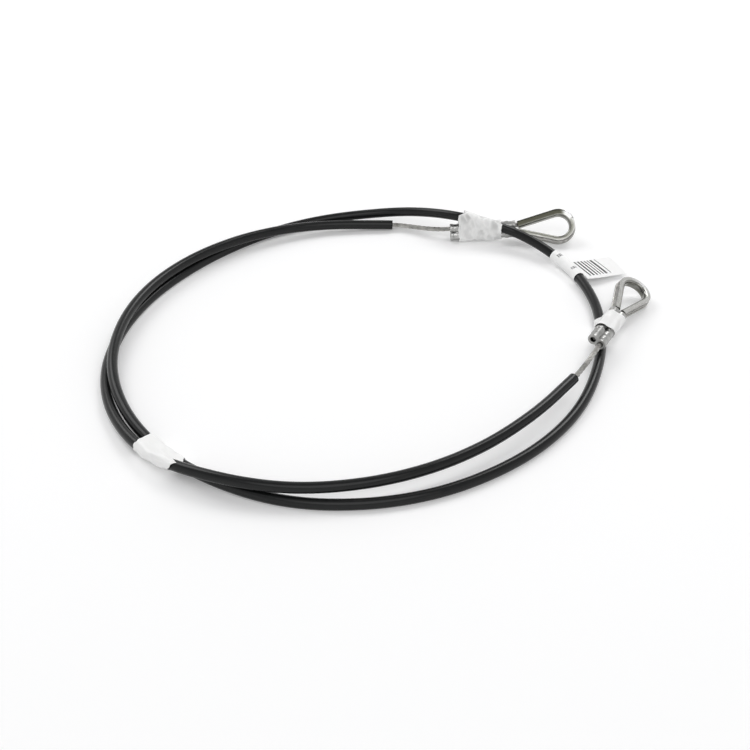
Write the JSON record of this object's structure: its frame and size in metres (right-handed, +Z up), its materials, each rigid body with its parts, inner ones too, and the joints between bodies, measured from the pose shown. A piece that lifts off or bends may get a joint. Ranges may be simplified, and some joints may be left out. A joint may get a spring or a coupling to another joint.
{
  "type": "looped security cable",
  "caption": "Looped security cable for a bicycle: plastic-sheathed wire rope, coiled and taped, with a thimble eye held by pressed ferrules at each end and a paper label with a flag.",
  "frame": {"origin": "centre of the bounding box on the surface that the coil lies on", "axes": "+Z up off the surface; +X along the coil's longest extent, towards the two eyes"},
  "size_m": [0.4286, 0.3719, 0.0264],
  "materials": {
    "sheath": "semi-gloss PVC, lightly scuffed",
    "rope": "dull galvanised strands",
    "thimble": "bright zinc plating",
    "ferrule": "bright, pressed in bands",
    "tape": "thin translucent film, crinkled",
    "label": "matt white paper"
  },
  "bodies": {
    "cable": {"wire_rope": "rope", "sheath": "sheath", "thimble_a": "thimble", "thimble_b": "thimble", "ferrule_a_tail": "ferrule", "ferrule_a_throat": "ferrule", "ferrule_b_tail": "ferrule", "ferrule_b_throat": "ferrule", "tape_a": "tape", "tape_b": "tape", "tape_c": "tape", "label_wrap": "label"},
    "flag": {"label_flag": "label"}
  },
  "joints": [
    {"name": "flag_fold", "type": "hinge", "parent": "cable", "child": "flag", "pos_m": [0.16146, 0.09297, 0.00651], "axis": [0.3638, -0.9315, 0], "range_deg": [0, 80], "stiffness_Nm_per_rad": 0.01}
  ]
}
